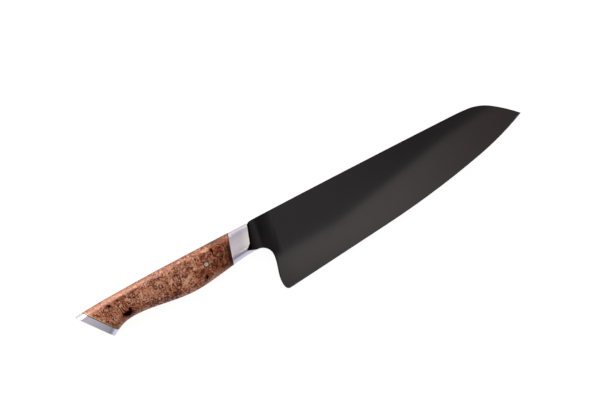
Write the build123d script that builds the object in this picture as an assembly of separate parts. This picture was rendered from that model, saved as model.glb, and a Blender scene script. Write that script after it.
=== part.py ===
from build123d import *
import os
from math import cos, radians, sin, tan

# Kiritsuke knife with a hidden tang, in millimetres and degrees.
# It is drawn lying on its side. X runs to the tip, Y to the spine and Z through the thickness,
# and the mid plane of the blade is at Z zero until the last step sets the knife down.
# The datum is on the centre line, just behind the front of the bolster.
# A reach is a distance along X, a rise one above the centre line and a drop one below it.

# Outline of the blade: spine, clip and tip
spine_rise = 9.15
spine_crown_reach = 78.0
spine_start_reach = 9.0
spine_start_fall = 0.15
spine_end_reach = 165.0
spine_end_fall = 0.55
tip_reach = 208.3
tip_drop = 11.6
clip_run_shares = (0.254, 0.633)
clip_fall_shares = (0.025, 0.32)

# Outline of the blade: cutting edge, heel and the notch behind it
heel_reach = 10.4
heel_drop = 45.6
edge_rise_angle = 5.75
edge_straight = 80.0
belly_run_share = 0.676
belly_rise_share = 0.509
heel_back_reach = 6.2
heel_round_height = 6.3
heel_round_hold_shares = (0.78, 0.67)
heel_back_hold_share = 0.33
notch_centre_reach = 1.95
notch_radius = 8.1
neck_drop = 11.4
neck_ramp_reach = 5.4
neck_ramp_rise = 8.8
neck_top_reach = 3.3
neck_top_rise = 7.5

# Thickness of the blade and its cutting bevel
spine_thickness = 3.0
spine_thickness_reach = 17.0
heel_edge_thickness = 0.54
tip_edge_thickness = 0.5
bevel_angle = 15.0
bevel_reach = 1.6
steel_easing = 0.2

# Neck, which scoops down from the bolster to the flats of the blade
neck_thickness = 7.2
neck_band = 6.5
neck_band_thickness = 6.2
scoop_length = 11.0
scoop_end_thickness = 2.2
scoop_radius = 42.0
neck_top_radius = 0.5

# Tang
tang_thickness = 4.0
tang_length = 96.0
tang_front_rise = 3.6
tang_front_drop = 8.4
tang_rear_rise = -0.4
tang_rear_drop = 6.4

# Bolster: its raked front, its length and the lip under the neck
bolster_front_rake = 18.5
bolster_front_reach = 0.85
bolster_length = 14.65
wood_rake = 16.2
bolster_front_thickness = 15.0
bolster_corner_drop = 5.45
bolster_corner_radius = 1.8
bolster_edge_radius = 0.9
lip_corner_reach = -4.95
lip_corner_drop = 8.85
lip_angle = 20.5

# Handle: its outline, its thickness and its rounded long edges
butt_reach = 128.7
handle_rise = 8.5
belly_drop = 17.15
top_run_shares = (-0.06, 0.31, 0.59, 0.80, 0.98, 1.08)
top_rise_shares = (1.0, 0.985, 0.94, 0.85, 0.71, 0.59)
bottom_run_shares = (0.097, 0.233, 0.389, 0.544, 0.723, 0.824, 0.886, 0.93)
bottom_drop_shares = (0.729, 0.883, 1.0, 0.889, 0.738, 0.845, 1.102, 1.38)
handle_front_thickness = 18.4
handle_butt_thickness = 21.2
top_edge_radius = 6.8
bottom_edge_radius = 5.0

# End cap and the two thin liners
cap_rake = 38.0
cap_thickness = 5.0
cap_edge_break = 0.35
front_liner_thickness = 0.6
rear_liner_thickness = 0.5

# Cross pin
pin_diameter = 3.2
pin_reach = -34.4
pin_drop = 4.15
pin_mark_diameter = 0.9
pin_mark_depth = 0.35

# Dowels between wood and end cap
dowel_diameter = 3.0
dowel_spacing = 10.0
dowel_drop = 5.0
dowel_depth_in_wood = 8.0
dowel_depth_in_cap = 3.0

# Clearances, and how far a cut runs past what it cuts
bed_thickness = 0.4
slot_clearance = 0.05
pin_clearance = 0.04
dowel_clearance = 0.05
dowel_end_clearance = 0.3
overrun = 40.0

# The blade's profile is drawn back to here, behind every part of the neck
neck_root_reach = -12.0


def share_between(start, end, run_share, rise_share):
    """The point that is these shares of the way from start to end, along X and along Y."""
    run = (end.X - start.X) * run_share
    rise = (end.Y - start.Y) * rise_share
    return Vector(start.X + run, start.Y + rise)


def wood_plane(depth):
    """The raked plane at the rear of the bolster, or one this deep behind it. It faces the tip."""
    facing = Vector(cos(radians(wood_rake)), -sin(radians(wood_rake)), 0)
    rear_of_bolster = Vector(bolster_front_reach - bolster_length, 0, 0)
    return Plane(origin=rear_of_bolster - facing * depth, z_dir=facing)


def cap_plane(depth):
    """A plane parallel to the butt, this deep inside its outer face. It faces rearward."""
    facing = Vector(-cos(radians(cap_rake)), -sin(radians(cap_rake)), 0)
    return Plane(origin=Vector(-butt_reach, 0, 0) - facing * depth, z_dir=facing)


def behind(plane, shape):
    """The part of a shape on the side that the plane faces away from."""
    return split(shape, bisect_by=plane, keep=Keep.BOTTOM)


def ahead(plane, shape):
    """The part of a shape on the side that the plane faces."""
    return split(shape, bisect_by=plane, keep=Keep.TOP)


def cutting_edge():
    """The edge from heel to tip: a straight length, then two arcs that turn up to the tip."""
    rise = Vector(cos(radians(edge_rise_angle)), sin(radians(edge_rise_angle)))
    start = Vector(heel_reach, -heel_drop)
    bend = start + rise * edge_straight
    tip = Vector(tip_reach, -tip_drop)
    straight = Line(start, bend)
    belly = TangentArc(bend, share_between(bend, tip, belly_run_share, belly_rise_share), tangent=rise)
    sweep_up = TangentArc(belly @ 1, tip, tangent=belly % 1)
    return [straight, belly, sweep_up]


def blade_outline():
    """The side view of blade and neck. The neck is drawn too long, and its shoulder trims it later."""
    spine_start = Vector(spine_start_reach, spine_rise - spine_start_fall)
    spine_end = Vector(spine_end_reach, spine_rise - spine_end_fall)
    spine = ThreePointArc(spine_start, (spine_crown_reach, spine_rise), spine_end)

    edge = cutting_edge()
    tip = edge[2] @ 1
    shoulder_points = [
        share_between(spine_end, tip, run, fall)
        for run, fall in zip(clip_run_shares, clip_fall_shares, strict=True)
    ]
    clip = [TangentArc(spine_end, shoulder_points[0], tangent=spine % 1)]
    for point in (shoulder_points[1], tip):
        clip.append(TangentArc(clip[-1] @ 1, point, tangent=clip[-1] % 1))

    heel = edge[0] @ 0
    heel_top = Vector(heel_back_reach, heel_round_height - heel_drop)
    round_length = heel_reach - heel_back_reach
    heel_round = Bezier(
        heel_top,
        heel_top - Vector(0, heel_round_height * heel_round_hold_shares[0]),
        heel - (edge[0] % 0) * (round_length * heel_round_hold_shares[1]),
        heel,
    )

    notch_centre = Vector(notch_centre_reach, -neck_drop - notch_radius)
    notch_front = notch_centre + Vector(notch_radius, 0)
    notch_top = notch_centre + Vector(0, notch_radius)
    hold = Vector(0, (notch_front.Y - heel_top.Y) * heel_back_hold_share)
    heel_back = Bezier(notch_front, notch_front - hold, heel_top + hold, heel_top)
    notch = TangentArc(notch_front, notch_top, tangent=(0, 1))

    neck_top = Vector(neck_top_reach, neck_top_rise)
    ramp = TangentArc(spine_start, Vector(neck_ramp_reach, neck_ramp_rise), tangent=-(spine % 0))
    ramp_end = TangentArc(ramp @ 1, neck_top, tangent=ramp % 1)
    root_top = Vector(neck_root_reach, neck_top_rise)
    root_bottom = Vector(neck_root_reach, -neck_drop)
    root = [Line(neck_top, root_top), Line(root_top, root_bottom), Line(root_bottom, notch_top)]
    return make_face([ramp_end, ramp, spine, *clip, *edge, heel_round, heel_back, notch, *root])


def upper_flat():
    """The plane of the blade's upper flat. It falls from spine to edge and from heel to tip."""
    at_heel = Vector(heel_reach, -heel_drop, heel_edge_thickness / 2)
    at_tip = Vector(tip_reach, -tip_drop, tip_edge_thickness / 2)
    at_spine = Vector(spine_thickness_reach, spine_rise, spine_thickness / 2)
    return Plane(origin=at_heel, z_dir=(at_tip - at_heel).cross(at_spine - at_heel))


def blade_flats(shape):
    """Keep what lies between the two flats."""
    flat = upper_flat()
    origin = Vector(flat.origin.X, flat.origin.Y, -flat.origin.Z)
    facing = Vector(flat.z_dir.X, flat.z_dir.Y, -flat.z_dir.Z)
    return behind(Plane(origin=origin, z_dir=facing), behind(flat, shape))


def neck_block():
    """The thick neck: a band beside the bolster, then a scoop of one grinding wheel radius.

    Both run parallel to the bolster's front and thin toward the heel as the flats do."""
    rake = radians(bolster_front_rake)
    along = Vector(cos(rake), -sin(rake), 0)
    across = Vector(sin(rake), cos(rake), 0)
    facing = upper_flat().z_dir
    across_flat = across - Vector(0, 0, across.dot(facing) / facing.Z)
    root = (neck_root_reach, neck_thickness / 2)
    far_side = -neck_thickness
    band_end = (neck_band, neck_band_thickness / 2)
    scoop_end = (neck_band + scoop_length, scoop_end_thickness / 2)
    outline = [
        Line((root[0], far_side), root),
        Line(root, (0, root[1])),
        Line((0, root[1]), band_end),
        RadiusArc(band_end, scoop_end, scoop_radius),
        Line(scoop_end, (scoop_end[0], far_side)),
        Line((scoop_end[0], far_side), (root[0], far_side)),
    ]
    section = Plane(origin=(bolster_front_reach, 0, 0), x_dir=along, z_dir=-across)
    upper = extrude(section * make_face(outline), amount=overrun, dir=across_flat, both=True)
    return upper & mirror(upper, about=Plane.XY)


def shoulder_region():
    """All that lies ahead of the bolster's front: raked, with a round corner, then the lip under the neck."""
    rake = tan(radians(bolster_front_rake))
    top = Vector(bolster_front_reach + overrun * rake, overrun)
    corner = Vector(bolster_front_reach - bolster_corner_drop * rake, -bolster_corner_drop)
    lip_corner = Vector(lip_corner_reach, -lip_corner_drop)
    lip_end_drop = neck_drop + bolster_edge_radius
    lip_end_reach = lip_corner_reach + (lip_end_drop - lip_corner_drop) / tan(radians(lip_angle))
    far = tip_reach + overrun
    below = -heel_drop - overrun
    outline = Polyline(
        top,
        corner,
        lip_corner,
        (lip_end_reach, -lip_end_drop),
        (lip_end_reach, below),
        (far, below),
        (far, top.Y),
        close=True,
    )
    face = make_face(outline)
    at_corner = face.vertices().sort_by_distance((corner.X, corner.Y, 0))[0]
    face = fillet(at_corner, bolster_corner_radius)
    return extrude(face, amount=overrun, both=True)


def bevel_cutter():
    """A strip along the whole edge that leaves one side of the cutting bevel when it is cut away."""
    edge = cutting_edge()
    lead_in = Line((edge[0] @ 0) - (edge[0] % 0) * heel_round_height, edge[0] @ 0)
    lead_out = Line(edge[2] @ 1, (edge[2] @ 1) + (edge[2] % 1) * heel_round_height)
    path = Wire([lead_in, *edge, lead_out])
    heading = edge[0] % 0
    inward = Vector(-heading.Y, heading.X, 0)
    section = Plane(origin=lead_in @ 0, x_dir=inward, z_dir=heading)
    lift = bevel_reach * tan(radians(bevel_angle))
    outline = Polyline((0, 0), (bevel_reach, lift), (-bevel_reach, lift), (-bevel_reach, 0), close=True)
    return sweep(section * make_face(outline), path=path)


def tang_block(margin):
    """The tang, tapered in height, grown by a margin all round for the hollows that take it."""
    front = neck_band
    slope_top = (tang_rear_rise - tang_front_rise) / tang_length
    slope_bottom = (tang_front_drop - tang_rear_drop) / tang_length
    rear = tang_length + margin
    corners = [
        (front, tang_front_rise + margin),
        (-rear, tang_front_rise + slope_top * rear + margin),
        (-rear, -tang_front_drop + slope_bottom * rear - margin),
        (front, -tang_front_drop - margin),
    ]
    return extrude(make_face(Polyline(*corners, close=True)), amount=tang_thickness / 2 + margin, both=True)


def pin_bore(clearance):
    """The cross pin's cylinder, through everything."""
    place = Location((pin_reach, -pin_drop, 0))
    return place * Cylinder(pin_diameter / 2 + clearance, 2 * overrun)


def dowels(clearance, end_clearance):
    """The two dowels, square to the end cap and side by side across the thickness."""
    wood_face = cap_plane(cap_thickness + rear_liner_thickness)
    down_the_face = Vector(sin(radians(cap_rake)), -cos(radians(cap_rake)), 0)
    centre = wood_face.origin + down_the_face * (dowel_drop / cos(radians(cap_rake)))
    depth = dowel_depth_in_wood + end_clearance
    length = depth + rear_liner_thickness + dowel_depth_in_cap + end_clearance
    solids = []
    for side in (-1, 1):
        start = centre - wood_face.z_dir * depth + Vector(0, 0, side * dowel_spacing / 2)
        base = Plane(origin=start, z_dir=wood_face.z_dir)
        solids.append(extrude(base * Circle(dowel_diameter / 2 + clearance), amount=length))
    return solids


def handle_side_view():
    """The side view that bolster, wood and end cap share, as a solid far thicker than the handle."""
    top = [
        Vector(-butt_reach * run, handle_rise * rise)
        for run, rise in zip(top_run_shares, top_rise_shares, strict=True)
    ]
    bottom = [Vector(notch_centre_reach, -neck_drop)] + [
        Vector(-butt_reach * run, -belly_drop * drop)
        for run, drop in zip(bottom_run_shares, bottom_drop_shares, strict=True)
    ]
    front = Vector(top[0].X, bottom[0].Y)
    outline = [
        Spline(top),
        Line(top[-1], bottom[-1]),
        Spline(bottom, tangents=[(-1, 0), bottom[-1] - bottom[-2]]),
        Line(bottom[0], front),
        Line(front, top[0]),
    ]
    return extrude(make_face(outline), amount=overrun, both=True)


def handle_half_thickness(reach):
    """Half the thickness of the handle at a reach, where its sides are flat."""
    wood_front = bolster_front_reach - bolster_length
    taper = (handle_butt_thickness - handle_front_thickness) / 2 / (butt_reach + wood_front)
    return handle_front_thickness / 2 + taper * (wood_front - reach)


def handle_plan():
    """The handle seen from its back: flat sides, thickest at the butt, that draw in along the bolster."""
    rear = -butt_reach - overrun
    wood_front = bolster_front_reach - bolster_length
    front = -butt_reach * top_run_shares[0]
    at_rear = Vector(rear, handle_half_thickness(rear))
    at_wood = Vector(wood_front, handle_half_thickness(wood_front))
    at_front = Vector(front, bolster_front_thickness / 2)
    outline = [
        Line((rear, 0), at_rear),
        Line(at_rear, at_wood),
        TangentArc(at_wood, at_front, tangent=at_wood - at_rear),
        Line(at_front, (front, 0)),
        Line((front, 0), (rear, 0)),
    ]
    half = extrude(Plane.XZ * make_face(outline), amount=overrun, both=True)
    return half + mirror(half, about=Plane.XY)


def long_side_edges(form):
    """The curved edges along both sides of the handle form."""
    outer = [edge for edge in form.edges() if abs(edge.center().Z) > bottom_edge_radius]
    return [edge for edge in outer if edge.geom_type == GeomType.BSPLINE]


def handle_form():
    """The outer form of bolster, liners, wood and end cap, with its long edges rounded."""
    form = handle_side_view() & handle_plan()
    upper = [edge for edge in long_side_edges(form) if edge.center().Y > 0]
    form = fillet(upper, top_edge_radius)
    lower = [edge for edge in long_side_edges(form) if edge.center().Y < -neck_drop]
    return fillet(lower, bottom_edge_radius)


def side_edges(shape):
    """The edges along the outline on both sides of a shape, without those that cross its thickness."""
    return [edge for edge in shape.edges() if edge.bounding_box().size.Z < edge.length / 2]


def ground_blade(slab):
    """The blade between its two flats, with the edges of its spine and clip just eased."""
    flats = blade_flats(slab)
    spine = [edge for edge in side_edges(flats) if edge.center().Y > 0]
    clip = [edge for edge in side_edges(flats) if -tip_drop < edge.center().Y <= 0 < edge.center().X]
    return fillet(spine + clip, steel_easing) & shoulder_region()


def rounded_neck(slab):
    """The thick neck up to the bolster, rounded along its top and eased along the notch below."""
    neck = slab & neck_block() & shoulder_region()
    top = [edge for edge in side_edges(neck) if edge.center().Y > neck_top_rise]
    neck = fillet(top, neck_top_radius)
    below = [edge for edge in side_edges(neck) if edge.center().Y < -neck_drop]
    notch = [edge for edge in below if edge.center().X < notch_centre_reach + notch_radius]
    return fillet(notch, steel_easing)


def make_blade():
    """The forging: blade, neck and hidden tang, drilled for the cross pin."""
    slab = extrude(blade_outline(), amount=neck_thickness, both=True)
    steel = ground_blade(slab) + rounded_neck(slab)
    cutter = bevel_cutter()
    steel = steel - cutter - mirror(cutter, about=Plane.XY)
    return steel + tang_block(0) - pin_bore(pin_clearance)


def make_bolster(form):
    """The polished collar: it stands on the neck's shoulder, and the tang passes through its slot."""
    collar = ahead(wood_plane(0), form) - shoulder_region()
    rake = radians(bolster_front_rake)
    facing = Vector(cos(rake), -sin(rake), 0)
    flat_faces = collar.faces().filter_by(GeomType.PLANE)
    front_face = max(flat_faces, key=lambda face: face.normal_at().dot(facing))
    rim = [edge for edge in front_face.edges() if edge.center().Y > -bolster_corner_drop / 2]
    return fillet(rim, bolster_edge_radius) - tang_block(slot_clearance)


def make_front_liner(form):
    """The thin fibre spacer between bolster and wood, slotted for the tang."""
    sheet = ahead(wood_plane(front_liner_thickness), behind(wood_plane(0), form))
    return sheet - tang_block(slot_clearance)


def wood_region(form):
    """The part of the handle form that the wood fills, between the two liners."""
    rear = cap_plane(cap_thickness + rear_liner_thickness)
    return behind(rear, behind(wood_plane(front_liner_thickness), form))


def make_handle_block(form):
    """The wood, mortised for tang and bed, with the pin's bore and the dowels' holes."""
    block = wood_region(form) - tang_block(bed_thickness) - pin_bore(pin_clearance)
    return block - dowels(dowel_clearance, dowel_end_clearance)


def make_tang_bed(form):
    """The cured epoxy that fills the mortise round the tang."""
    filling = wood_region(form) & tang_block(bed_thickness)
    return filling - tang_block(0) - pin_bore(pin_clearance)


def make_pin(form):
    """The cross pin, dressed flush with both sides of the handle and centre marked at each end."""
    pin = pin_bore(0) & form
    side = handle_half_thickness(pin_reach)
    point = Cone(0, pin_mark_diameter, 2 * pin_mark_depth, align=(Align.CENTER, Align.CENTER, Align.MIN))
    mark = Location((pin_reach, -pin_drop, side - pin_mark_depth)) * point
    return pin - mark - mirror(mark, about=Plane.XY)


def make_rear_liner(form):
    """The thin spacer between wood and end cap, pierced by the dowels."""
    wood_end = cap_plane(cap_thickness + rear_liner_thickness)
    sheet = behind(cap_plane(cap_thickness), ahead(wood_end, form))
    return sheet - dowels(dowel_clearance, dowel_end_clearance)


def make_end_cap(form):
    """The steel butt plate, drilled part way for the dowels, its outer edge just broken."""
    outer = cap_plane(0)
    plate = behind(outer, ahead(cap_plane(cap_thickness), form))
    outer_face = plate.faces().sort_by(Axis(outer.origin, outer.z_dir))[-1]
    plate = chamfer(outer_face.edges(), cap_edge_break)
    return plate - dowels(dowel_clearance, dowel_end_clearance)


form = handle_form()
pieces = {
    "blade": make_blade(),
    "bolster": make_bolster(form),
    "front_liner": make_front_liner(form),
    "handle_block": make_handle_block(form),
    "tang_bed": make_tang_bed(form),
    "handle_pin": make_pin(form),
    "rear_liner": make_rear_liner(form),
    "end_cap": make_end_cap(form),
    "cap_dowels": Compound(dowels(0, 0)),
}

# The knife lies on its side: its origin is under the middle of its outline, on what it lies on
box = Compound(list(pieces.values())).bounding_box()
to_rest = Location((-box.center().X, -box.center().Y, -box.min.Z))
os.makedirs("parts", exist_ok=True)
for name, piece in pieces.items():
    export_step(to_rest * piece, f"parts/{name}.step")
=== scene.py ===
import math

import bpy
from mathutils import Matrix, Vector

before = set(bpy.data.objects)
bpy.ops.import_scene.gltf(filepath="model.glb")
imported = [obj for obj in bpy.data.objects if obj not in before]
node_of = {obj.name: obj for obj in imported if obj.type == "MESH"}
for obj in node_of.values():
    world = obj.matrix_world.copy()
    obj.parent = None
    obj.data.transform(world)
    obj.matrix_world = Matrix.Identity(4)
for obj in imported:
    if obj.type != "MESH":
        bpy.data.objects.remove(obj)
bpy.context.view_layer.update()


# Blade: one forging of high-carbon steel with its neck and hidden tang, ground flat, sharpened on
# both sides and blackened all over. Its tang is bedded in the handle, and nothing else holds it.
OXIDE_NEUTRAL = "#312f30"
OXIDE_BROWN = "#333031"
OXIDE_PATCH_MM = 22.0
POLISH_LINE_MM = 0.9
SHOULDER_MM, SHOULDER_SLANT = -43.3, 0.353
NECK_MM, NECK_END_MM, NECK_SLANT = -40.0, -32.95, 0.17
SCOOP_SHADE_MM, SCOOP_END_MM, SCOOP_SLANT = -28.7, -20.6, 0.16
SPINE_LIGHT_MM = (17.0, 25.0)
HEEL_FADE_MM = (-6.5, 0.5)
SCOOP_TURN = (0.07, 0.15)
BEVEL_TURN = (-0.19, -0.24)
EASED = {"interpolation_type": "SMOOTHSTEP"}


def linear(colour):
    """sRGB hex to linear RGBA."""
    srgb = [int(colour[place:place + 2], 16) / 255 for place in (1, 3, 5)]
    return [part / 12.92 if part <= 0.04045 else ((part + 0.055) / 1.055) ** 2.4 for part in srgb] + [1.0]


def put(material, made, socket, value):
    """Links an output to a node's socket, or sets a number, a vector or a hex colour on it."""
    if isinstance(value, bpy.types.NodeSocket):
        material.node_tree.links.new(value, made.inputs[socket])
    else:
        made.inputs[socket].default_value = linear(value) if isinstance(value, str) else value


def node(material, kind, inputs=(), output=0, stops=(), **settings):
    """Adds a shader node and returns the output asked for, or a list for a tuple of them. Inputs go by name or
    in order. Stops are a colour ramp's positions and colours."""
    made = material.node_tree.nodes.new("ShaderNode" + kind)
    for name, value in settings.items():
        setattr(made, name, value)
    for socket, value in inputs.items() if isinstance(inputs, dict) else enumerate(inputs):
        put(material, made, socket, value)
    while stops and len(made.color_ramp.elements) < len(stops):
        made.color_ramp.elements.new(0.5)
    for place, (position, colour) in enumerate(stops):
        made.color_ramp.elements[place].position = position
        made.color_ramp.elements[place].color = linear(colour) if isinstance(colour, str) else colour
    return [made.outputs[name] for name in output] if isinstance(output, tuple) else made.outputs[output]


def new_material(name):
    """A material that holds one Principled shader."""
    material = bpy.data.materials.new(name)
    material.use_nodes = True
    return material


def dress(material, cad_node, **sockets):
    """Sets or links the shader's sockets, and gives a CAD node the material."""
    for socket, value in sockets.items():
        put(material, material.node_tree.nodes["Principled BSDF"], socket.replace("_", " "), value)
    mesh = node_of[cad_node].data
    mesh.materials.clear()
    mesh.materials.append(material)


def in_mm(material):
    """Object coordinates in millimetres."""
    place = node(material, "TexCoord", output="Object")
    return node(material, "Mapping", {"Vector": place, "Scale": (1000, 1000, 1000)})


def slanted(material, vector, slant):
    """X less a share of Y: the distance from a line that leans across the knife."""
    x, y = node(material, "SeparateXYZ", [vector], ("X", "Y"))
    return node(material, "Math", [y, -slant, x], operation="MULTIPLY_ADD")


def stained(material, base, colour, strength, value, reach=None, within=None, **settings):
    """The base tinted up to that strength where the value is, or where it has gone from one end of its reach
    to the other, eased, and only within another mask."""
    if reach:
        share = node(material, "MapRange", [value, *reach, 0.0, strength], **EASED)
    else:
        share = node(material, "Math", [value, strength], operation="MULTIPLY")
    if within is not None:
        share = node(material, "Math", [share, within], operation="MULTIPLY")
    return node(material, "Mix", {"Factor": share, "A": base, "B": colour}, "Result", data_type="RGBA", **settings)


# blackened high-carbon steel: magnetite scale left by the forge. Near black, it mirrors softly, and is
# a little browner where it was rubbed most; the polish lines run along it
oxide = new_material("blackened_carbon_steel")
mm = in_mm(oxide)
patch = node(oxide, "TexNoise", {"Vector": mm, "Scale": 1 / OXIDE_PATCH_MM, "Detail": 4.0, "Roughness": 0.6})
tone = node(oxide, "ValToRGB", [patch], stops=[(0.3, OXIDE_NEUTRAL), (0.75, OXIDE_BROWN)])
lengthwise = node(oxide, "Mapping", {"Vector": mm, "Scale": (0.04, 1 / POLISH_LINE_MM, 1 / POLISH_LINE_MM)})
lines = node(oxide, "TexNoise", {"Vector": lengthwise, "Scale": 1.0, "Detail": 3.0, "Roughness": 0.7})
gloss = node(oxide, "MapRange", {"Value": lines, "To Min": 0.1, "To Max": 0.13})
slope_x, slope_y = node(oxide, "SeparateXYZ", [node(oxide, "NewGeometry", output="Normal")], ("X", "Y"))
past_neck = slanted(oxide, mm, NECK_SLANT)
past_scoop = slanted(oxide, mm, SCOOP_SLANT)
height = node(oxide, "SeparateXYZ", [mm], "Y")

# painted shade: the scoop turns away from the light, so its colour is painted dark: darkest by the neck, less so by the
# spine, and gone at the heel
rise = node(oxide, "MapRange", [past_scoop, SCOOP_SHADE_MM, SCOOP_END_MM])
painted_scoop_shade = node(oxide, "ValToRGB", [rise], stops=[(0.0, "#1a1919"), (0.25, "#1b1a1a"), (0.5, "#1e1d1d"),
                                              (0.75, "#252324"), (1.0, OXIDE_NEUTRAL)])
upper = node(oxide, "MapRange", [height, *SPINE_LIGHT_MM, 0.0, 0.3])
painted_scoop_shade = node(oxide, "Mix", {"Factor": upper, "A": painted_scoop_shade, "B": "#272526"}, "Result", data_type="RGBA")
tone = stained(oxide, tone, painted_scoop_shade, 1.0, past_scoop, (SCOOP_END_MM + 1.0, SCOOP_END_MM - 1.0),
               node(oxide, "MapRange", [height, *HEEL_FADE_MM], **EASED))
scoop_gloss = node(oxide, "MapRange", [slope_x, *SCOOP_TURN, 0.0, 0.2], **EASED)
gloss = node(oxide, "Math", [gloss, scoop_gloss], operation="ADD")

# painted shade: the neck is painted dark by the bolster; then the bevel, which was ground bright, and a painted shadow
# line at the seam at the shoulder
neck = node(oxide, "MapRange", [past_neck, NECK_MM, NECK_END_MM - 1.5], **EASED)
neck = node(oxide, "ValToRGB", [neck], stops=[(0.0, "#1b1a1a"), (1.0, "#302e2f")])
tone = stained(oxide, tone, neck, 1.0, past_neck, (NECK_END_MM + 1.2, NECK_END_MM - 1.6))
tone = stained(oxide, tone, "#615e5f", 1.0, slope_y, BEVEL_TURN)
# painted shadow: a near-black line along the shoulder, where the bolster meets the neck
tone = stained(oxide, tone, "#070606", 1.0, slanted(oxide, mm, SHOULDER_SLANT), (SHOULDER_MM + 1.3, SHOULDER_MM + 0.7))
scratches = node(oxide, "Bump", {"Height": lines, "Strength": 0.02, "Distance": 0.0001})
dress(oxide, "blade", Metallic=1.0, Base_Color=tone, Roughness=gloss, Normal=scratches)


# Bolster: a collar of stainless steel, slotted over the tang and pushed up to the neck's shoulder,
# ground to the shape of the handle and polished on its outside.
REAR_SLANT = 0.205
REAR_RIM_HIGHLIGHT_MM = (-54.9, -55.6)
FRONT_RIM_HIGHLIGHT_MM = (SHOULDER_MM - 7.0, SHOULDER_MM - 0.8)
SPINE_FACET_SHADE_TURN = (0.72, 0.9)
LIP_SHADE_TURN = (-0.2, -0.55)
BOLSTER_TOP_MM = 13.4
BOLSTER_CROWN_MM = 60.0
CROWN_STOP_MM = 7.3
BOLSTER_BELT_PER_MM = (2.2, 0.2, 2.2)


def crowned(material, vector, top_mm, radius_mm):
    """A bump that bends a flat side round X: it falls away from its top line as a circle of that radius does,
    square of the distance over twice the radius, and is level past the stop."""
    off_top = node(material, "Math", [node(material, "SeparateXYZ", [vector], "Y"), top_mm], operation="SUBTRACT")
    off_top = node(material, "Math", [off_top, CROWN_STOP_MM], operation="MINIMUM")
    squared = node(material, "Math", [off_top, 2.0], operation="POWER")
    fall = node(material, "Math", [squared, -0.001 / (2 * radius_mm)], operation="MULTIPLY")
    return node(material, "Bump", {"Height": fall, "Strength": 1.0, "Distance": 1.0})


# belt-polished stainless steel: bright, with faint lines 0.5 mm apart across it, coarser than a real belt leaves so
# that they show. Its colour holds painted light: a creamy painted highlight on the rim by the blade, a lavender painted
# highlight on the rear rim, and lavender painted shade on its top facet and lip
polished = new_material("polished_stainless_steel")
mm = in_mm(polished)
across = node(polished, "Mapping", {"Vector": mm, "Scale": BOLSTER_BELT_PER_MM})
belt = node(polished, "TexNoise", {"Vector": across, "Scale": 1.0, "Detail": 4.0, "Roughness": 0.7})
gloss = node(polished, "MapRange", {"Value": belt, "To Min": 0.17, "To Max": 0.21})
tone = node(polished, "ValToRGB", [belt], stops=[(0.25, "#cdc2c8"), (0.75, "#d3c9cf")])
# painted highlight: a creamy band along the front rim, by the blade
tone = stained(polished, tone, "#e6dcd9", 1.0, slanted(polished, mm, SHOULDER_SLANT), FRONT_RIM_HIGHLIGHT_MM)
# painted highlight: a pale lavender line along the rear rim
tone = stained(polished, tone, "#e6e0ee", 1.0, slanted(polished, mm, REAR_SLANT), REAR_RIM_HIGHLIGHT_MM)
slope_y = node(polished, "SeparateXYZ", [node(polished, "NewGeometry", output="Normal")], "Y")
# painted shade: darker lavender where the side turns up into the top facet
tone = stained(polished, tone, "#bcb5c0", 1.0, slope_y, SPINE_FACET_SHADE_TURN)
# painted shade: a darker lavender on the lip, where the side turns down
tone = stained(polished, tone, "#c3bccb", 1.0, slope_y, LIP_SHADE_TURN)
dress(polished, "bolster", Metallic=1.0, Base_Color=tone, Roughness=gloss,
      Normal=crowned(polished, mm, BOLSTER_TOP_MM, BOLSTER_CROWN_MM))


# Front liner: a sheet of black vulcanised fibre between bolster and wood, glued to both and shaped
# with them, so only its edge shows.
FIBRE_FLECK_MM = 0.625

# vulcanised fibre, pressed from cotton paper: matt, brown-black, finely flecked
fibre = new_material("black_vulcanised_fibre")
fleck = node(fibre, "TexNoise", {"Vector": in_mm(fibre), "Scale": 1 / FIBRE_FLECK_MM, "Detail": 4.0})
fleck = node(fibre, "ValToRGB", [fleck], stops=[(0.3, "#0f0b0a"), (0.7, "#2a211d")])
dress(fibre, "front_liner", Roughness=0.7, Base_Color=fleck)


# Handle block: one piece of stabilised maple burl, mortised for the tang, shaped on a belt with the
# bolster and cap, oiled and buffed. Its eyes and voids are those that the photograph's side shows.
# A list of marks gives each oval's centre x, y, its half length and half width and its turn, in
# millimetres and degrees, on the upper face.
TOP_FACE_MM = 20.0
BURL_DEEP_MM = 7.0
PATCH_MM = 17.0
EYE_MM = 7.5
LINE_MM = 1.9
PIP_MM = 3.8
FLECK_MM = 1.3
STRIPE_MM = 1.5
MARK_REACH = 3.0
PIN_AXIS_MM = (-72.14, 14.08)
CAP_SLANT = -0.738
BROAD = (1.35, 0.3)
CRISP = (1.35, 0.55)
burl = new_material("stabilised_maple_burl")
mm = in_mm(burl)


def pushed(vector, scale_mm, reach_mm, seed):
    """The vector moved by noise of that scale, up to that reach."""
    shifted = node(burl, "VectorMath", [vector, (seed, seed, seed)], operation="ADD")
    noise = node(burl, "TexNoise", {"Vector": shifted, "Scale": 1 / scale_mm, "Detail": 2.0, "Roughness": 0.5}, "Color")
    drift = node(burl, "VectorMath", [noise, (0.5, 0.5, 0.5)], operation="SUBTRACT")
    return node(burl, "VectorMath", [drift, (reach_mm, reach_mm, reach_mm), vector], operation="MULTIPLY_ADD")


# stabilised maple burl, oiled and buffed: warm brown and closely figured under a thin soft gloss. It
# starts from broad patches of pale, brown and red-brown wood
swirled = pushed(pushed(mm, 15.0, 9.0, 3.0), 5.0, 3.2, 41.0)
patches = node(burl, "TexNoise", {"Vector": swirled, "Scale": 1 / PATCH_MM, "Detail": 3.0, "Roughness": 0.6})
wood = node(burl, "ValToRGB", [patches], stops=[(0.28, "#652f1a"), (0.44, "#8f5034"), (0.56, "#aa6b4c"),
                                                (0.72, "#c08a6b")])
ragged = pushed(mm, 2.4, 1.9, 63.0)


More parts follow.
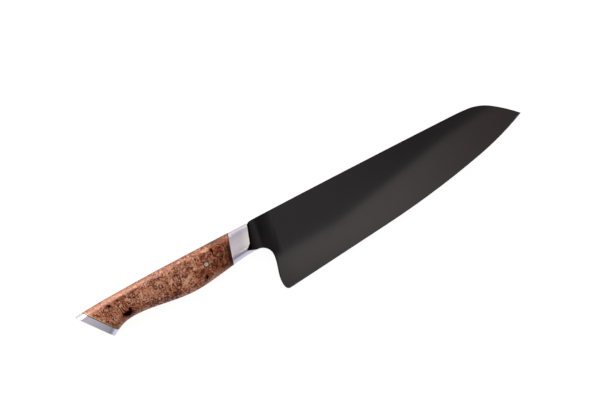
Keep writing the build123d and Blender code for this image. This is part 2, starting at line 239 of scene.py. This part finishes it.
def spot(centre, half, turn=0.0):
    """Distance from an oval mark under the upper face: 1 at its ragged edge, and 3 at the most, where the
    gradient ends. A vector's length would say the same, but Cycles then keeps every oval's vector at once,
    runs out of room for them and leaves the wood black."""
    size = [MARK_REACH * part for part in (*half, BURL_DEEP_MM)]
    place = node(burl, "Mapping", {"Vector": ragged, "Location": (*centre, TOP_FACE_MM),
                                   "Rotation": (0, 0, math.radians(turn)), "Scale": size}, vector_type="TEXTURE")
    nearness = node(burl, "TexGradient", [place], "Fac", gradient_type="SPHERICAL")
    return node(burl, "Math", [nearness, -MARK_REACH, MARK_REACH], operation="MULTIPLY_ADD")


def nearest(ovals):
    """The least of the distances from several ovals."""
    least = spot(*ovals[0])
    for oval in ovals[1:]:
        least = node(burl, "Math", [least, spot(*oval)], operation="MINIMUM")
    return least


def band(value, outer, inner):
    """Full between two eased edges of a value."""
    edges = [node(burl, "MapRange", [value, *edge], **EASED) for edge in (outer, inner)]
    return node(burl, "Math", edges, operation="MULTIPLY")


def rings(ovals, spacing, reach):
    """Rings round several eyes: the positive half of a sine of the distance, fading outwards, the strongest kept."""
    mask = None
    for oval in ovals:
        off = spot(*oval)
        wave = node(burl, "Math", [off, 2 * math.pi / spacing], operation="MULTIPLY")
        wave = node(burl, "MapRange", [node(burl, "Math", [wave], operation="SINE"), 0.0, 0.9], **EASED)
        fade = node(burl, "MapRange", [off, reach, reach * 0.7], **EASED)
        one = node(burl, "Math", [wave, fade], operation="MULTIPLY")
        mask = one if mask is None else node(burl, "Math", [mask, one], operation="MAXIMUM")
    return mask


PALE_AREAS = [((-112.3, 14.5), (11.0, 6.0)), ((-88.0, 18.2), (6.0, 4.5))]
RED_AREA = [((-137.1, 16.0), (10.0, 6.0), 10)]
wood = stained(burl, wood, "#c68f6d", 0.4, nearest(PALE_AREAS), BROAD)
wood = stained(burl, wood, "#5f2c17", 0.5, nearest(RED_AREA), BROAD)

# growth lines: contours of the distance to the nearest eye plus a rolling noise, so they ring the
# eyes and flow between them; they are drawn 1.9 mm apart to show, where the real lines are closer
spikes = node(burl, "Mapping", {"Vector": pushed(mm, 6.0, 3.4, 17.0), "Scale": (1.0, 1.0, 0.25)})
cells = node(burl, "TexVoronoi", {"Vector": spikes, "Scale": 1 / EYE_MM, "Randomness": 1.0})
hills = node(burl, "TexNoise", {"Vector": swirled, "Scale": 1 / 7.0, "Detail": 3.0, "Roughness": 0.6})
growth = node(burl, "Math", [hills, 9.0, node(burl, "Math", [cells, EYE_MM], operation="MULTIPLY")],
              operation="MULTIPLY_ADD")
growth = node(burl, "Math", [growth, 2 * math.pi / LINE_MM], operation="MULTIPLY")
growth = node(burl, "Math", [growth], operation="SINE")
come_go = node(burl, "TexNoise", {"Vector": pushed(mm, 5.0, 2.0, 77.0), "Scale": 1 / 5.0, "Detail": 1.0})
come_go = node(burl, "MapRange", [come_go, 0.36, 0.6, 0.2, 1.0], **EASED)
wood = stained(burl, wood, "#4b1704", 0.66, growth, (0.3, 0.95), come_go)
wood = stained(burl, wood, "#d8ac94", 0.42, growth, (-0.3, -1.0), come_go)

# pips: small ringed cells with a dark bud, in clusters
pip_place = node(burl, "Mapping", {"Vector": pushed(mm, 4.5, 2.6, 29.0), "Scale": (1.0, 1.0, 0.25)})
off_pip, pip_mark = node(burl, "TexVoronoi", {"Vector": pip_place, "Scale": 1 / PIP_MM, "Randomness": 1.0},
                         ("Distance", "Color"))
cluster, budded = node(burl, "SeparateColor", [pip_mark], (0, 1))
cluster = node(burl, "MapRange", [cluster, 0.4, 0.5], **EASED)
pip_ring = band(off_pip, (0.3, 0.42), (0.62, 0.48))
wood = stained(burl, wood, "#c89376", 0.45, off_pip, (0.4, 0.2), cluster)
wood = stained(burl, wood, "#481505", 0.75, pip_ring, within=cluster)
budded = node(burl, "MapRange", [budded, 0.3, 0.4], **EASED)
budded = node(burl, "Math", [budded, cluster], operation="MULTIPLY")
wood = stained(burl, wood, "#2d0a01", 0.8, off_pip, (0.2, 0.08), budded)

# flecks: pin knots and fine grain
flecks = node(burl, "TexNoise", {"Vector": pushed(mm, 5.0, 2.0, 41.0), "Scale": 1 / FLECK_MM, "Detail": 2.0,
                                 "Roughness": 0.6})
wood = stained(burl, wood, "#dcb39c", 0.45, flecks, (0.54, 0.68))
wood = stained(burl, wood, "#421203", 0.75, flecks, (0.46, 0.33))

# darker wood towards the bolster, along the belly and in the rear
DARK_FRONT_MM = (-74.0, -60.0)
DARK_AREAS = [((-134.0, 9.1), (12.0, 4.6), 4), ((-77.0, 9.0), (8.0, 3.6), -15), ((-64.5, 10.0), (8.0, 4.2), 5),
              ((-151.0, 7.0), (6.0, 3.2), -30), ((-59.0, 11.0), (5.0, 7.0), -18), ((-60.0, 26.0), (9.0, 3.6)),
              ((-136.5, 20.8), (8.5, 1.9), 2)]
along, height = node(burl, "SeparateXYZ", [mm], ("X", "Y"))
wood = stained(burl, wood, "#c8b5a3", 1.0, along, DARK_FRONT_MM, blend_type="MULTIPLY")
wood = stained(burl, wood, "#bfa793", 1.0, nearest(DARK_AREAS), BROAD, blend_type="MULTIPLY")

# ringed eyes, and the large ring round the front eye
RINGED_EYES = [((-147.3, 11.8), (1.2, 1.2)), ((-151.3, 9.6), (1.0, 1.1)), ((-113.9, 18.0), (0.9, 0.9)),
               ((-120.6, 7.9), (0.9, 0.9)), ((-107.5, 21.4), (1.0, 1.0)), ((-93.3, 19.1), (0.9, 0.8)),
               ((-84.5, 21.6), (1.0, 0.8)), ((-117.0, 10.5), (1.3, 0.9))]
FRONT_EYE = [((-60.0, 19.6), (2.0, 1.8))]
LARGE_RING = [((-60.4, 18.7), (4.5, 4.3))]
wood = stained(burl, wood, "#4b2011", 0.75, rings(RINGED_EYES, 1.1, 2.9))
wood = stained(burl, wood, "#35120a", 0.6, rings(FRONT_EYE, 0.95, 1.6))
wood = stained(burl, wood, "#2e0f08", 0.8, band(nearest(LARGE_RING), (0.84, 0.96), (1.16, 1.04)))

# pale streaks and specks
STREAKS = [((-107.0, 18.2), (2.2, 0.7), -25), ((-89.1, 10.3), (5.6, 1.5), 29), ((-89.5, 10.0), (4.6, 1.2), 29),
           ((-120.6, 7.8), (0.8, 0.7)), ((-113.9, 18.0), (0.7, 0.6)), ((-131.5, 17.4), (3.0, 0.8), -24),
           ((-99.9, 13.6), (2.6, 0.6), 60), ((-69.0, 23.2), (2.8, 1.2)), ((-121.5, 16.5), (0.7, 3.0), -15)]
wood = stained(burl, wood, "#d9a785", 0.5, nearest(STREAKS), CRISP)

# red-brown, pale and orange wood at the front eye, with its dark middle
EYE_RED = [((-61.2, 20.6), (3.0, 1.8), -16)]
EYE_PALE = [((-57.4, 16.0), (3.6, 0.5), 64), ((-59.6, 12.0), (2.4, 0.5), 76), ((-63.4, 12.2), (2.0, 0.5), 70),
            ((-61.6, 16.6), (1.6, 0.5), 20), ((-60.4, 8.8), (1.8, 0.5), 40)]
EYE_ORANGE = [((-62.8, 21.4), (1.0, 0.7), -10), ((-61.4, 20.1), (0.8, 0.5)), ((-58.8, 21.8), (1.7, 0.4), -24)]
EYE_DARK = [((-59.4, 20.4), (1.5, 0.7), -12)]
wood = stained(burl, wood, "#83402a", 0.5, nearest(EYE_RED), CRISP)
wood = stained(burl, wood, "#b08668", 0.32, nearest(EYE_PALE), CRISP)
wood = stained(burl, wood, "#b85a33", 0.6, nearest(EYE_ORANGE), CRISP)
wood = stained(burl, wood, "#3f1509", 0.85, nearest(EYE_DARK), CRISP)

# the striped eye over the large void, with an orange corner
STRIPED_EYE = [((-137.0, 12.9), (2.9, 2.5))]
ORANGE_CORNER = [((-136.0, 11.2), (0.8, 0.6))]
stripes = node(burl, "Math", [slanted(burl, ragged, -0.23), 2 * math.pi / STRIPE_MM], operation="MULTIPLY")
stripes = node(burl, "Math", [stripes], operation="SINE")
striped = node(burl, "MapRange", [nearest(STRIPED_EYE), 1.1, 0.85], **EASED)
wood = stained(burl, wood, "#bb7657", 0.75, stripes, (0.0, -0.8), striped)
wood = stained(burl, wood, "#380c07", 0.95, stripes, (-0.3, 0.4), striped)
wood = stained(burl, wood, "#c8452c", 0.6, nearest(ORANGE_CORNER), CRISP)

# dark knots
KNOTS = [((-93.9, 17.1), (2.2, 1.1), -25), ((-90.5, 14.0), (0.9, 0.9)), ((-94.6, 10.2), (1.7, 1.1), -50),
         ((-84.6, 22.4), (1.5, 0.8), 50), ((-102.4, 10.5), (0.6, 1.3), -30), ((-105.0, 9.0), (1.1, 0.9)),
         ((-99.1, 7.0), (3.0, 1.1), 5), ((-99.3, 4.8), (3.0, 0.8), -10), ((-80.9, 12.4), (2.0, 1.0), -30),
         ((-76.3, 10.5), (1.6, 1.2)), ((-68.9, 12.3), (0.9, 1.6)), ((-66.3, 14.0), (0.6, 1.2)),
         ((-60.9, 7.5), (2.8, 0.7), -12), ((-94.0, 6.5), (0.8, 0.8)), ((-121.0, 8.7), (1.2, 1.2), 30),
         ((-155.0, 16.9), (0.7, 1.5), 35), ((-147.1, 10.4), (0.8, 1.1)), ((-94.3, 22.1), (1.4, 0.5), -10),
         ((-98.1, 20.4), (0.8, 0.7)), ((-126.9, 20.9), (3.5, 0.8), 5)]
wood = stained(burl, wood, "#371205", 0.72, nearest(KNOTS), CRISP)

# voids, black and rough, with a red-brown edge, then a dark wedge along the front liner, fading out towards the top,
# the orange rim at the cap and the dark ring round the pin
VOIDS = [((-135.5, 8.9), (3.3, 1.6)), ((-138.0, 9.3), (1.6, 1.1)), ((-133.2, 10.3), (1.3, 1.7)),
         ((-145.7, 19.7), (1.9, 0.95), -38), ((-128.3, 17.2), (2.1, 0.35), -27), ((-75.6, 6.0), (0.9, 1.5), -30),
         ((-64.6, 21.4), (0.8, 1.5), 8)]
WEDGE_MM, WEDGE_FADE_MM = (-59.3, -57.6), (22.0, 18.0)
CAP_RIM_MM = (-144.2, -145.6)
PIN_RING_MM = 2.1
off_void = nearest(VOIDS)
void = node(burl, "MapRange", [off_void, 1.25, 0.6], **EASED)
wood = stained(burl, wood, "#3a150b", 0.7, off_void, (1.9, 1.0))
wood = stained(burl, wood, "#1a0b06", 0.8, slanted(burl, mm, REAR_SLANT), WEDGE_MM,
               node(burl, "MapRange", [height, *WEDGE_FADE_MM], **EASED))
wood = stained(burl, wood, "#db9f6d", 0.5, slanted(burl, mm, CAP_SLANT), CAP_RIM_MM)
pin_place = node(burl, "Mapping", {"Vector": mm, "Location": (*PIN_AXIS_MM, 0.0),
                                   "Scale": (PIN_RING_MM, PIN_RING_MM, 1000.0)}, vector_type="TEXTURE")
off_pin = node(burl, "VectorMath", [pin_place], "Value", operation="LENGTH")
wood = stained(burl, wood, "#33241a", 0.75, off_pin, (1.25, 0.9))
wood = stained(burl, wood, "#070302", 0.97, void)

# the rounded upper side: painted light, peach, on it towards the rear, and painted shade, greyer, at its very top. The
# wood has no shine of its own; the oil on the rounded sides has, and the voids have none
PEACH_LIGHT_MM = (-103.0, -124.0)
slope_y = node(burl, "SeparateXYZ", [node(burl, "NewGeometry", output="Normal")], "Y")
painted_peach_light = node(burl, "MapRange", [along, *PEACH_LIGHT_MM, 0.14, 0.36], **EASED)
# painted light: the upper rounded side is painted peach towards the rear
wood = stained(burl, wood, "#cb9679", 1.0, slope_y, (0.2, 0.6), painted_peach_light)
# painted shade: greyer where the side turns up to the very top
wood = stained(burl, wood, "#d6c8c0", 1.0, slope_y, (0.7, 0.95), blend_type="MULTIPLY")
hollow = node(burl, "Math", [void, -1.0], operation="MULTIPLY")
sunk = node(burl, "Bump", {"Height": hollow, "Strength": 0.5, "Distance": 0.0003})
belly_oil = node(burl, "MapRange", [slope_y, -0.08, -0.4, 0.08, 0.5], **EASED)
spine_oil = node(burl, "MapRange", [slope_y, 0.08, 0.4, 0.08, 0.28], **EASED)
oil = node(burl, "Math", [belly_oil, spine_oil], operation="MAXIMUM")
dry = node(burl, "MapRange", [void, 0.6, 0.0], **EASED)
dress(burl, "handle_block", Base_Color=wood, Normal=sunk, Roughness=0.5, Specular_IOR_Level=0.0,
      Coat_Weight=node(burl, "Math", [oil, dry], operation="MULTIPLY"), Coat_Roughness=0.3)


# Cross pin: drawn steel, driven through wood and tang, peened and dressed flush. A centre mark is
# left in each end.
DRAWN_LINE_MM = 1 / 1.4

# drawn steel, filed flush: warm grey and satin, with a dark centre mark and a dark edge. The ramp of
# its ends runs over 2 mm from the axis
drawn = new_material("drawn_steel")
mm = in_mm(drawn)
filed = node(drawn, "TexNoise", {"Vector": mm, "Scale": 1 / DRAWN_LINE_MM, "Detail": 3.0, "Roughness": 0.7})
pin_place = node(drawn, "Mapping", {"Vector": mm, "Location": (*PIN_AXIS_MM, 0.0), "Scale": (1.0, 1.0, 1000.0)},
                 vector_type="TEXTURE")
off_axis = node(drawn, "VectorMath", [pin_place], "Value", operation="LENGTH")
off_axis = node(drawn, "MapRange", {"Value": off_axis, "To Max": 0.5}, clamp=False)
ends = node(drawn, "ValToRGB", [off_axis], stops=[(0.12, "#5a544c"), (0.25, "#ffffff"), (0.66, "#ffffff"),
                                                  (0.76, "#6a5a4c")])
tone = node(drawn, "ValToRGB", [filed], stops=[(0.3, "#b3a193"), (0.7, "#cdbcac")])
tone = node(drawn, "Mix", {"Factor": 1.0, "A": ends, "B": tone}, "Result", data_type="RGBA", blend_type="MULTIPLY")
gloss = node(drawn, "MapRange", {"Value": filed, "To Min": 0.25, "To Max": 0.45})
dress(drawn, "handle_pin", Metallic=1.0, Base_Color=tone, Roughness=gloss)


# Tang bed: two-part epoxy, poured round the tang in the mortise and left to cure. Hidden.
EPOXY_CLOUD_MM = 1 / 0.3

# cured epoxy: amber and a little cloudy, with a smooth shine
epoxy = new_material("cured_epoxy")
cloud = node(epoxy, "TexNoise", {"Vector": in_mm(epoxy), "Scale": 1 / EPOXY_CLOUD_MM, "Detail": 3.0})
cloud = node(epoxy, "ValToRGB", [cloud], stops=[(0.3, "#8f6f43"), (0.7, "#b4935f")])
dress(epoxy, "tang_bed", Roughness=0.3, IOR=1.55, Base_Color=cloud)


# Rear liner: the same black fibre between wood and cap, glued to both.
dress(fibre, "rear_liner")


# End cap: a raked butt plate of stainless steel, keyed to the wood by two dowels, ground with a fine
# belt along its length.
CAP_RAKE_DEG = 30.0
CAP_TOP_MM = 19.8
CAP_CROWN_MM = 110.0
CAP_BELT_PER_MM = (2.4, 0.2, 2.4)

# belt-ground stainless steel: soft grey with a lavender cast, its faint lines drawn 0.4 mm apart
satin = new_material("satin_stainless_steel")
mm = in_mm(satin)
run = node(satin, "Mapping", {"Vector": mm, "Rotation": (0, 0, math.radians(CAP_RAKE_DEG)),
                              "Scale": CAP_BELT_PER_MM})
belt = node(satin, "TexNoise", {"Vector": run, "Scale": 1.0, "Detail": 4.0, "Roughness": 0.7})
tone = node(satin, "ValToRGB", [belt], stops=[(0.25, "#c0bbc5"), (0.75, "#ccc8d2")])
gloss = node(satin, "MapRange", {"Value": belt, "To Min": 0.2, "To Max": 0.3})
dress(satin, "end_cap", Metallic=1.0, Base_Color=tone, Roughness=gloss,
      Normal=crowned(satin, mm, CAP_TOP_MM, CAP_CROWN_MM))


# Cap dowels: two rods of the pin's drawn steel, glued into wood and cap. Hidden.
dress(drawn, "cap_dowels")


# Camera: square to the blade's side, as in the photograph, far off with a long lens.
PHOTO_WIDTH_M = 0.4175
PHOTO_CENTRE_M = (0.00455, 0.0217)
CAMERA_HEIGHT_M = 1.6
BLADE_PLANE_M = 0.0106
KNIFE_TILT_DEG = 27.5
SENSOR_MM = 36.0
lens = bpy.data.cameras.new("camera")
lens.sensor_width = SENSOR_MM
lens.lens = SENSOR_MM * (CAMERA_HEIGHT_M - BLADE_PLANE_M) / PHOTO_WIDTH_M
camera = bpy.data.objects.new("camera", lens)
camera.location = (*PHOTO_CENTRE_M, CAMERA_HEIGHT_M)
camera.rotation_euler = (0, 0, -math.radians(KNIFE_TILT_DEG))
bpy.context.scene.collection.objects.link(camera)
bpy.context.scene.camera = camera


# Floor: a plain sweep of white paper that glows a little, as a lit one does.
FLOOR_HALF_M = 6.0
FLOOR_GLOW = 0.92


def flat_sheet(name, outline, height):
    """A level sheet: one face through the outline's points at that height, facing down if they run clockwise."""
    mesh = bpy.data.meshes.new(name)
    mesh.from_pydata([(x, y, height) for x, y in outline], [], [tuple(range(len(outline)))])
    sheet = bpy.data.objects.new(name, mesh)
    bpy.context.scene.collection.objects.link(sheet)
    return sheet


# white paper: matt, evenly bright
paper = new_material("white_sweep")
sheen = paper.node_tree.nodes["Principled BSDF"]
put(paper, sheen, "Roughness", 0.9)
put(paper, sheen, "Base Color", (0.15, 0.15, 0.15, 1))
put(paper, sheen, "Emission Color", "#ffffff")
put(paper, sheen, "Emission Strength", FLOOR_GLOW)
floor = flat_sheet("floor", [(-FLOOR_HALF_M, -FLOOR_HALF_M), (FLOOR_HALF_M, -FLOOR_HALF_M),
                             (FLOOR_HALF_M, FLOOR_HALF_M), (-FLOOR_HALF_M, FLOOR_HALF_M)], 0.0)
floor.data.materials.append(paper)


# Overhead strip: a low diffuser over the cutting edge. Its far edge is the line between light and
# dark that lies along the blade, and it is weaker and warmer towards the tip.
STRIP_HEIGHT_M = 0.1406
STRIP_OUTLINE_M = [(-0.040, -0.037), (-0.040, -0.0125), (0.0247, -0.0100), (0.0570, -0.0040), (0.1221, 0.0088),
                   (0.1545, 0.0128), (0.2146, 0.018), (0.2146, -0.034), (0.06, -0.037)]
TOWARDS_TIP_MM = (30.0, 210.0)
BY_HEEL_MM = (-40.0, -15.0)
BY_FRONT_MM = (-37.0, -22.0)

# diffuser cloth, lit from behind: soft and faintly warm
glow = new_material("diffuser_cloth")
along, height = node(glow, "SeparateXYZ", [in_mm(glow)], ("X", "Y"))
far = node(glow, "MapRange", [along, *TOWARDS_TIP_MM], **EASED)
warmth = node(glow, "ValToRGB", [far], stops=[(0.0, "#fffcf9"), (0.35, "#fffaf6"), (0.8, "#fff3ed")])
power = node(glow, "MapRange", {"Value": far, "To Min": 1.96, "To Max": 0.92})
power = node(glow, "Math", [power, node(glow, "MapRange", [along, *BY_HEEL_MM, 0.7])], operation="MULTIPLY")
power = node(glow, "Math", [power, node(glow, "MapRange", [height, *BY_FRONT_MM, 0.82])], operation="MULTIPLY")
put(glow, glow.node_tree.nodes["Material Output"], "Surface",
    node(glow, "Emission", {"Color": warmth, "Strength": power}))
strip = flat_sheet("overhead_strip", STRIP_OUTLINE_M, STRIP_HEIGHT_M)
strip.visible_camera = False
strip.data.materials.append(glow)


# Room: a pale studio that changes from side to side, a little blue at both, with one small dark flag
# overhead. Sides run from -1 behind the cutting edge to 1 behind the spine.
ROOM_GREYS = [(-1.0, 1.0), (-0.95, 0.8), (-0.85, 0.42), (-0.6, 0.4), (-0.3, 0.46), (-0.13, 0.64), (-0.06, 0.88),
              (0.0, 0.92), (0.1, 0.84), (0.2, 0.76), (0.4, 0.74), (0.65, 0.66), (0.85, 0.64), (0.97, 0.64), (1.0, 0.66)]
ROOM_BLUE, ROOM_PLAIN = (0.93, 0.97, 1.1, 1), (1, 1, 1, 1)
ROOM_TINTS = [(-0.6, ROOM_BLUE), (-0.3, ROOM_PLAIN), (0.3, ROOM_PLAIN), (0.7, ROOM_BLUE)]
FLAG_PLACE, FLAG_HALF = (0.085, -0.045, 1.0), (0.058, 0.05, 100.0)
world = bpy.data.worlds.new("studio")
world.use_nodes = True
bpy.context.scene.world = world
way = node(world, "TexCoord", output="Generated")
sideways = node(world, "MapRange", [node(world, "SeparateXYZ", [way], "Y"), -1.0, 1.0])
grey = node(world, "ValToRGB", [sideways],
            stops=[((side + 1) / 2, (level, level, level, 1)) for side, level in ROOM_GREYS])
flag = node(world, "Mapping", {"Vector": way, "Location": FLAG_PLACE, "Scale": FLAG_HALF}, vector_type="TEXTURE")
off_flag = node(world, "VectorMath", [flag], "Value", operation="LENGTH")
unflagged = node(world, "MapRange", [off_flag, 0.5, 1.0, 0.4], **EASED)
tint = node(world, "ValToRGB", [sideways], stops=[((side + 1) / 2, colour) for side, colour in ROOM_TINTS])
tinted = node(world, "Mix", {"Factor": 1.0, "A": grey, "B": tint}, "Result", data_type="RGBA", blend_type="MULTIPLY")
put(world, world.node_tree.nodes["Background"], "Color", tinted)
put(world, world.node_tree.nodes["Background"], "Strength", unflagged)


# Side box: a soft box low behind the handle, which lights its rounded upper side.
BOX_CENTRE_M, BOX_AIM_M = (-0.24, 0.30, 0.11), (-0.14, 0.02, 0.01)
BOX_SIZE_M = (0.32, 0.08)
BOX_RADIANCE = 19.0
light = bpy.data.lights.new("side_box", "AREA")
light.shape = "RECTANGLE"
light.size, light.size_y = BOX_SIZE_M
light.energy = BOX_RADIANCE * BOX_SIZE_M[0] * BOX_SIZE_M[1] * math.pi
light.color = (1, 1, 1)
lamp = bpy.data.objects.new("side_box", light)
lamp.location = BOX_CENTRE_M
lamp.rotation_euler = (Vector(BOX_AIM_M) - Vector(BOX_CENTRE_M)).to_track_quat("-Z", "Y").to_euler()
lamp.visible_camera = False
bpy.context.scene.collection.objects.link(lamp)

bpy.context.scene.view_settings.view_transform = "Standard"
